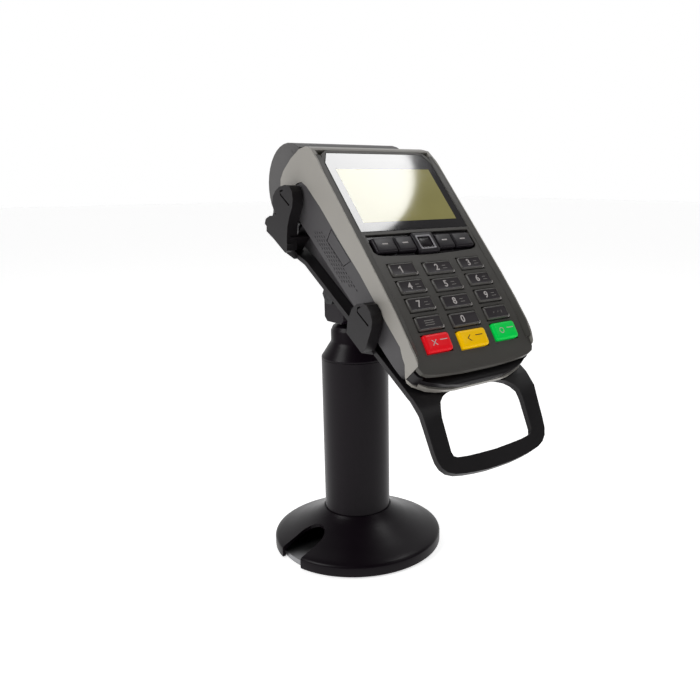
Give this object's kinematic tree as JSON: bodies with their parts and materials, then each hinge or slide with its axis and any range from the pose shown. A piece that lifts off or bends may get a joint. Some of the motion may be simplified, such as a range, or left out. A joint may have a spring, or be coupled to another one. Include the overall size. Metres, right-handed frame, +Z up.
{
  "type": "card payment terminal on a counter stand",
  "caption": "Handheld card payment terminal with keypad, display and receipt printer, clipped in a cradle with a hand loop on a swivelling and tilting round-based counter stand.",
  "frame": {"origin": "centre of the round base, on the counter", "axes": "+Z up along the pole, the user stands at -Y, +X to the user's right"},
  "size_m": [0.0988, 0.1655, 0.2313],
  "materials": {
    "steel": "satin",
    "zinc": "bright",
    "black_paint": "fine matte powder coat",
    "cradle_plastic": "fine texture",
    "band_plastic": "satin",
    "bezel_plastic": "fine matte",
    "panel_gloss": "gloss",
    "housing_plastic": "fine texture",
    "cover_plastic": "fine texture",
    "lens": "high gloss",
    "display": "lit panel",
    "key_dark": "satin",
    "key_gloss": "gloss",
    "key_red": "gloss",
    "key_yellow": "gloss",
    "key_green": "gloss",
    "silicone": "matte",
    "pad_rubber": "matte",
    "board": "solder resist",
    "inner_plastic": "moulded",
    "battery": "wrapped cell",
    "gear_plastic": "natural nylon",
    "roller_rubber": "matte",
    "ceramic": "glazed ceramic strip",
    "paper": "paper"
  },
  "bodies": {
    "stand": {"base_pad": "pad_rubber", "base_plate": "steel", "base_cover": "black_paint", "pole_foot": "zinc", "foot_screws": "zinc", "pole_tube": "black_paint", "pole_cap": "black_paint", "swivel_washer": "zinc", "swivel_bolt": "zinc"},
    "swivel_head": {"tilt_yoke": "black_paint", "tilt_pin": "zinc", "tilt_nut": "zinc"},
    "head": {"tilt_bracket": "black_paint", "tray": "cradle_plastic", "tray_screws": "zinc", "upper_housing": "band_plastic", "face_bezel": "bezel_plastic", "function_panel": "panel_gloss", "nose_trim": "cradle_plastic", "lower_housing": "housing_plastic", "battery_door": "housing_plastic", "battery_pack": "battery", "keypad_mat": "silicone", "display_lens": "lens", "lcd_module": "display", "main_board": "board", "board_screws": "zinc", "card_reader": "inner_plastic", "side_sockets": "inner_plastic", "print_motor": "zinc", "print_head": "ceramic", "printer_frame": "inner_plastic", "cover_pin": "zinc"},
    "paper_cover": {"paper_cover": "cover_plastic"},
    "platen_roller": {"platen_roller": "roller_rubber", "platen_gear": "gear_plastic"},
    "idler_gear": {"idler_gear": "gear_plastic"},
    "motor_pinion": {"motor_pinion": "gear_plastic"},
    "paper_roll": {"paper_roll": "paper"},
    "connector_flap": {"connector_flap": "housing_plastic"},
    "key_1": {"key_1": "key_dark"},
    "key_2": {"key_2": "key_dark"},
    "key_3": {"key_3": "key_dark"},
    "key_4": {"key_4": "key_dark"},
    "key_5": {"key_5": "key_dark"},
    "key_6": {"key_6": "key_dark"},
    "key_7": {"key_7": "key_dark"},
    "key_8": {"key_8": "key_dark"},
    "key_9": {"key_9": "key_dark"},
    "key_menu": {"key_menu": "key_dark"},
    "key_0": {"key_0": "key_dark"},
    "key_symbols": {"key_symbols": "key_dark"},
    "key_cancel": {"key_cancel": "key_red"},
    "key_clear": {"key_clear": "key_yellow"},
    "key_enter": {"key_enter": "key_green"},
    "key_f1": {"key_f1": "key_gloss"},
    "key_f2": {"key_f2": "key_gloss"},
    "key_f3": {"key_f3": "key_gloss"},
    "key_f4": {"key_f4": "key_gloss"},
    "nav_key": {"nav_key": "key_gloss"}
  },
  "joints": [
    {"name": "pole_swivel", "type": "hinge", "parent": "stand", "child": "swivel_head", "pos_m": [0, 0, 0.1345], "axis": [0, 0, 1], "range_deg": [-165, 165]},
    {"name": "head_tilt", "type": "hinge", "parent": "swivel_head", "child": "head", "pos_m": [0, 0, 0.151], "axis": [1, 0, 0], "range_deg": [-30, 35]},
    {"name": "paper_cover_hinge", "type": "hinge", "parent": "head", "child": "paper_cover", "pos_m": [0, 0.02112, 0.19356], "axis": [-1, 0, 0], "range_deg": [0, 80]},
    {"name": "platen_spin", "type": "hinge", "parent": "paper_cover", "child": "platen_roller", "pos_m": [0, -0.00154, 0.2219], "axis": [1, 0, 0], "continuous": true},
    {"name": "idler_spin", "type": "hinge", "parent": "head", "child": "idler_gear", "pos_m": [0, -0.00619, 0.21196], "axis": [1, 0, 0], "continuous": true},
    {"name": "pinion_spin", "type": "hinge", "parent": "head", "child": "motor_pinion", "pos_m": [0, -0.01465, 0.21272], "axis": [1, 0, 0], "continuous": true},
    {"name": "paper_roll_spin", "type": "hinge", "parent": "head", "child": "paper_roll", "pos_m": [0, 0.0065, 0.20296], "axis": [1, 0, 0], "continuous": true},
    {"name": "connector_flap_hinge", "type": "hinge", "parent": "head", "child": "connector_flap", "pos_m": [-0.0387, -0.03932, 0.17788], "axis": [0, -0.7691, -0.6392], "range_deg": [0, 90]},
    {"name": "key_1_press", "type": "slide", "parent": "head", "child": "key_1", "axis": [0, 0.7431, -0.6691], "range_m": [0, 0.0008], "stiffness_N_per_m": 900, "springref_m": -0.0006},
    {"name": "key_2_press", "type": "slide", "parent": "head", "child": "key_2", "axis": [0, 0.7431, -0.6691], "range_m": [0, 0.0008], "stiffness_N_per_m": 900, "springref_m": -0.0006},
    {"name": "key_3_press", "type": "slide", "parent": "head", "child": "key_3", "axis": [0, 0.7431, -0.6691], "range_m": [0, 0.0008], "stiffness_N_per_m": 900, "springref_m": -0.0006},
    {"name": "key_4_press", "type": "slide", "parent": "head", "child": "key_4", "axis": [0, 0.7528, -0.6583], "range_m": [0, 0.0008], "stiffness_N_per_m": 900, "springref_m": -0.0006},
    {"name": "key_5_press", "type": "slide", "parent": "head", "child": "key_5", "axis": [0, 0.7528, -0.6583], "range_m": [0, 0.0008], "stiffness_N_per_m": 900, "springref_m": -0.0006},
    {"name": "key_6_press", "type": "slide", "parent": "head", "child": "key_6", "axis": [0, 0.7528, -0.6583], "range_m": [0, 0.0008], "stiffness_N_per_m": 900, "springref_m": -0.0006},
    {"name": "key_7_press", "type": "slide", "parent": "head", "child": "key_7", "axis": [0, 0.7841, -0.6206], "range_m": [0, 0.0008], "stiffness_N_per_m": 900, "springref_m": -0.0006},
    {"name": "key_8_press", "type": "slide", "parent": "head", "child": "key_8", "axis": [0, 0.7841, -0.6206], "range_m": [0, 0.0008], "stiffness_N_per_m": 900, "springref_m": -0.0006},
    {"name": "key_9_press", "type": "slide", "parent": "head", "child": "key_9", "axis": [0, 0.7841, -0.6206], "range_m": [0, 0.0008], "stiffness_N_per_m": 900, "springref_m": -0.0006},
    {"name": "key_menu_press", "type": "slide", "parent": "head", "child": "key_menu", "axis": [0, 0.8137, -0.5813], "range_m": [0, 0.0008], "stiffness_N_per_m": 900, "springref_m": -0.0006},
    {"name": "key_0_press", "type": "slide", "parent": "head", "child": "key_0", "axis": [0, 0.8137, -0.5813], "range_m": [0, 0.0008], "stiffness_N_per_m": 900, "springref_m": -0.0006},
    {"name": "key_symbols_press", "type": "slide", "parent": "head", "child": "key_symbols", "axis": [0, 0.8137, -0.5813], "range_m": [0, 0.0008], "stiffness_N_per_m": 900, "springref_m": -0.0006},
    {"name": "key_cancel_press", "type": "slide", "parent": "head", "child": "key_cancel", "axis": [0, 0.8423, -0.539], "range_m": [0, 0.0008], "stiffness_N_per_m": 900, "springref_m": -0.0006},
    {"name": "key_clear_press", "type": "slide", "parent": "head", "child": "key_clear", "axis": [0, 0.8423, -0.539], "range_m": [0, 0.0008], "stiffness_N_per_m": 900, "springref_m": -0.0006},
    {"name": "key_enter_press", "type": "slide", "parent": "head", "child": "key_enter", "axis": [0, 0.8423, -0.539], "range_m": [0, 0.0008], "stiffness_N_per_m": 900, "springref_m": -0.0006},
    {"name": "key_f1_press", "type": "slide", "parent": "head", "child": "key_f1", "axis": [0, 0.7431, -0.6691], "range_m": [0, 0.0008], "stiffness_N_per_m": 900, "springref_m": -0.0006},
    {"name": "key_f2_press", "type": "slide", "parent": "head", "child": "key_f2", "axis": [0, 0.7431, -0.6691], "range_m": [0, 0.0008], "stiffness_N_per_m": 900, "springref_m": -0.0006},
    {"name": "key_f3_press", "type": "slide", "parent": "head", "child": "key_f3", "axis": [0, 0.7431, -0.6691], "range_m": [0, 0.0008], "stiffness_N_per_m": 900, "springref_m": -0.0006},
    {"name": "key_f4_press", "type": "slide", "parent": "head", "child": "key_f4", "axis": [0, 0.7431, -0.6691], "range_m": [0, 0.0008], "stiffness_N_per_m": 900, "springref_m": -0.0006},
    {"name": "nav_key_press", "type": "slide", "parent": "head", "child": "nav_key", "axis": [0, 0.7431, -0.6691], "range_m": [0, 0.0008], "stiffness_N_per_m": 900, "springref_m": -0.0006}
  ],
  "couplings": [
    {"joint": "idler_spin", "follows": "platen_spin", "ratio": -0.83333},
    {"joint": "pinion_spin", "follows": "platen_spin", "ratio": 2},
    {"joint": "paper_roll_spin", "follows": "platen_spin", "ratio": 0.25352}
  ]
}
